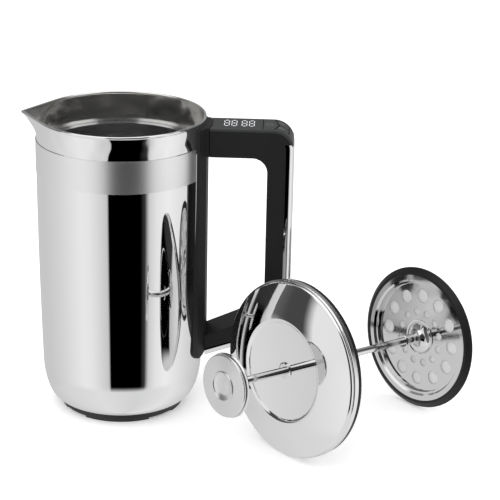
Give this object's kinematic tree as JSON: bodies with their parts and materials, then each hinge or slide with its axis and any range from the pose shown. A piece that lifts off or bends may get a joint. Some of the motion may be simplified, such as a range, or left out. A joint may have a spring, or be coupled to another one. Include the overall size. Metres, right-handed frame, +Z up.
{
  "type": "french press",
  "caption": "Double-walled steel coffee press with a spout and a weighing handle; its lid, rod, knob and sieve filter lie beside it.",
  "frame": {"origin": "centre of the foot ring, on the floor", "axes": "+Z up along the pot's axis, +X towards the handle, -X towards the pouring spout; the lid and plunger lie on the floor on the -Y, +X side"},
  "size_m": [0.3055, 0.1861, 0.206],
  "materials": {
    "polished_steel": "mirror polished stainless steel",
    "vessel_steel": "fine brushed stainless steel",
    "band_steel": "satin stainless band",
    "pan_steel": "plain pressed steel",
    "base_plastic": "matt black moulding",
    "pad_rubber": "black rubber",
    "handle_plastic": "fine satin black moulding",
    "strip_chrome": "bright chromed strip",
    "cover_plastic": "dark grey satin moulding",
    "button_plastic": "dark grey satin caps",
    "digit_light": "lit white bars",
    "display_block": "black display block",
    "board_laminate": "green laminate",
    "switch_plastic": "black switch bodies",
    "battery_jacket": "plain printed jacket",
    "contact_metal": "plated contacts",
    "cell_metal": "machined aluminium",
    "cable_jacket": "soft black jacket",
    "screw_steel": "plated steel screws",
    "lid_polish": "mirror polished stainless steel",
    "seal_silicone": "black silicone",
    "lid_under_steel": "plain pressed steel",
    "bush_steel": "turned steel",
    "rod_steel": "ground and polished rod",
    "knob_satin": "circular turned satin",
    "knob_polish": "polished steel",
    "filter_polish": "polished pressed steel",
    "mesh_steel": "fine woven steel mesh",
    "spider_steel": "plain steel backing",
    "hub_steel": "turned polished steel"
  },
  "bodies": {
    "pot": {"outer_shell": "polished_steel", "inner_vessel": "vessel_steel", "trim_band": "band_steel", "base_pan": "pan_steel", "base_cover": "base_plastic", "load_cell": "cell_metal", "signal_cable": "cable_jacket", "handle_rail": "handle_plastic", "handle_frame": "handle_plastic", "handle_strip": "strip_chrome", "display_cover": "cover_plastic", "display_module": "display_block", "circuit_board": "board_laminate", "tact_switches": "switch_plastic", "digits_left": "digit_light", "digits_right": "digit_light", "battery_left": "battery_jacket", "battery_right": "battery_jacket", "contact_low": "contact_metal", "contact_high": "contact_metal", "arm_screw_upper": "screw_steel", "arm_screw_lower": "screw_steel", "strip_screw": "screw_steel", "foot_pad_ring": "pad_rubber", "base_screw_1": "screw_steel", "base_screw_2": "screw_steel", "base_screw_3": "screw_steel"},
    "power_key": {"power_button": "button_plastic"},
    "timer_key": {"timer_button": "button_plastic"},
    "tare_key": {"tare_button": "button_plastic"},
    "lid": {"lid_dome": "lid_polish", "lid_rim_ring": "lid_polish", "lid_gasket": "seal_silicone", "lid_underplate": "lid_under_steel", "rod_bush": "bush_steel"},
    "plunger": {"plunger_rod": "rod_steel", "knob_face": "knob_satin", "knob_badge": "knob_satin", "knob_back": "knob_polish", "filter_plate": "filter_polish", "filter_mesh": "mesh_steel", "filter_spider": "spider_steel", "filter_seal": "seal_silicone", "hub_bell": "hub_steel", "hub_sleeve": "hub_steel", "filter_nut": "hub_steel"}
  },
  "joints": [
    {"name": "lid_lift", "type": "slide", "parent": "pot", "child": "lid", "axis": [0, 0, 1], "range_m": [0, 0.3]},
    {"name": "plunger_slide", "type": "slide", "parent": "lid", "child": "plunger", "axis": [-0.7314, -0.6773, 0.0792], "range_m": [-0.0445, 0.0937]},
    {"name": "power_press", "type": "slide", "parent": "pot", "child": "power_key", "axis": [0, 0, -1], "range_m": [0, 0.0008], "stiffness_N_per_m": 1800},
    {"name": "timer_press", "type": "slide", "parent": "pot", "child": "timer_key", "axis": [0, 0, -1], "range_m": [0, 0.0008], "stiffness_N_per_m": 1800},
    {"name": "tare_press", "type": "slide", "parent": "pot", "child": "tare_key", "axis": [0, 0, -1], "range_m": [0, 0.0008], "stiffness_N_per_m": 1800}
  ]
}
